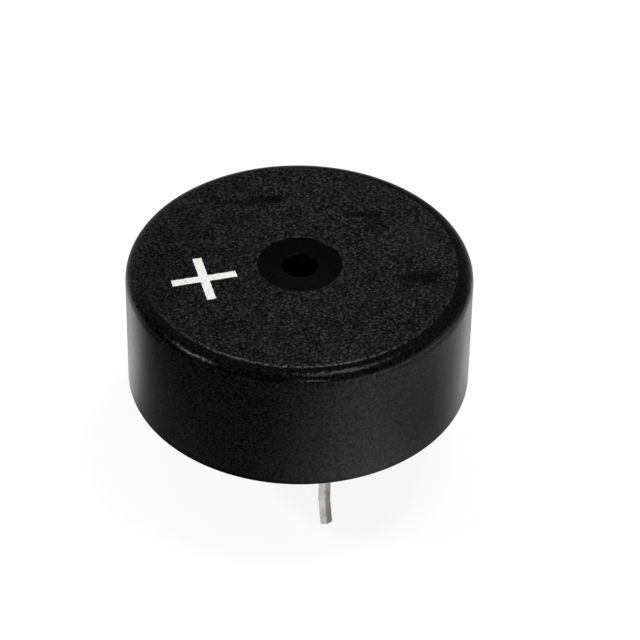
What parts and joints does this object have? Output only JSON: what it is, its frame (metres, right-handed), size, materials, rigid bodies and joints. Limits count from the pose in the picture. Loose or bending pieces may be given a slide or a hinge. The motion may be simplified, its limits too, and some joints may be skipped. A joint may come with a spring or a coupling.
{
  "type": "piezo buzzer",
  "caption": "Round black through-hole piezo buzzer: moulded case with a small sound hole, diaphragm and drive circuit inside, and blade pins below.",
  "frame": {"origin": "centre of the plane in which the open end of the case sits on a circuit board", "axes": "+Z out of the sound hole; the two pins stand in the plane of +Y and -Y and point down -Z"},
  "size_m": [0.024, 0.024, 0.0176],
  "materials": {
    "case_plastic": "satin",
    "cover_plastic": "satin",
    "seal_resin": "gloss",
    "tinned_brass": "satin",
    "board_laminate": "satin",
    "transistor_resin": "matte",
    "chip_ceramic": "matte",
    "solder": "satin",
    "plate_brass": "satin",
    "piezo_ceramic": "matte",
    "fired_silver": "matte",
    "silicone": "satin",
    "red_insulation": "satin",
    "white_insulation": "satin",
    "black_insulation": "satin"
  },
  "bodies": {
    "root": {"case": "case_plastic", "base_cover": "cover_plastic", "cover_seal": "seal_resin", "pin_front": "tinned_brass", "pin_back": "tinned_brass", "pin_seals": "seal_resin", "circuit_board": "board_laminate", "transistor": "transistor_resin", "resistor_load": "chip_ceramic", "resistor_bias": "chip_ceramic", "resistor_feedback": "chip_ceramic", "board_solder_joints": "solder", "diaphragm_plate": "plate_brass", "piezo_ceramic": "piezo_ceramic", "main_electrode": "fired_silver", "feedback_electrode": "fired_silver", "adhesive_ring": "silicone", "lead_main": "red_insulation", "lead_feedback": "white_insulation", "lead_ground": "black_insulation", "disc_solder_joints": "solder"}
  },
  "joints": []
}
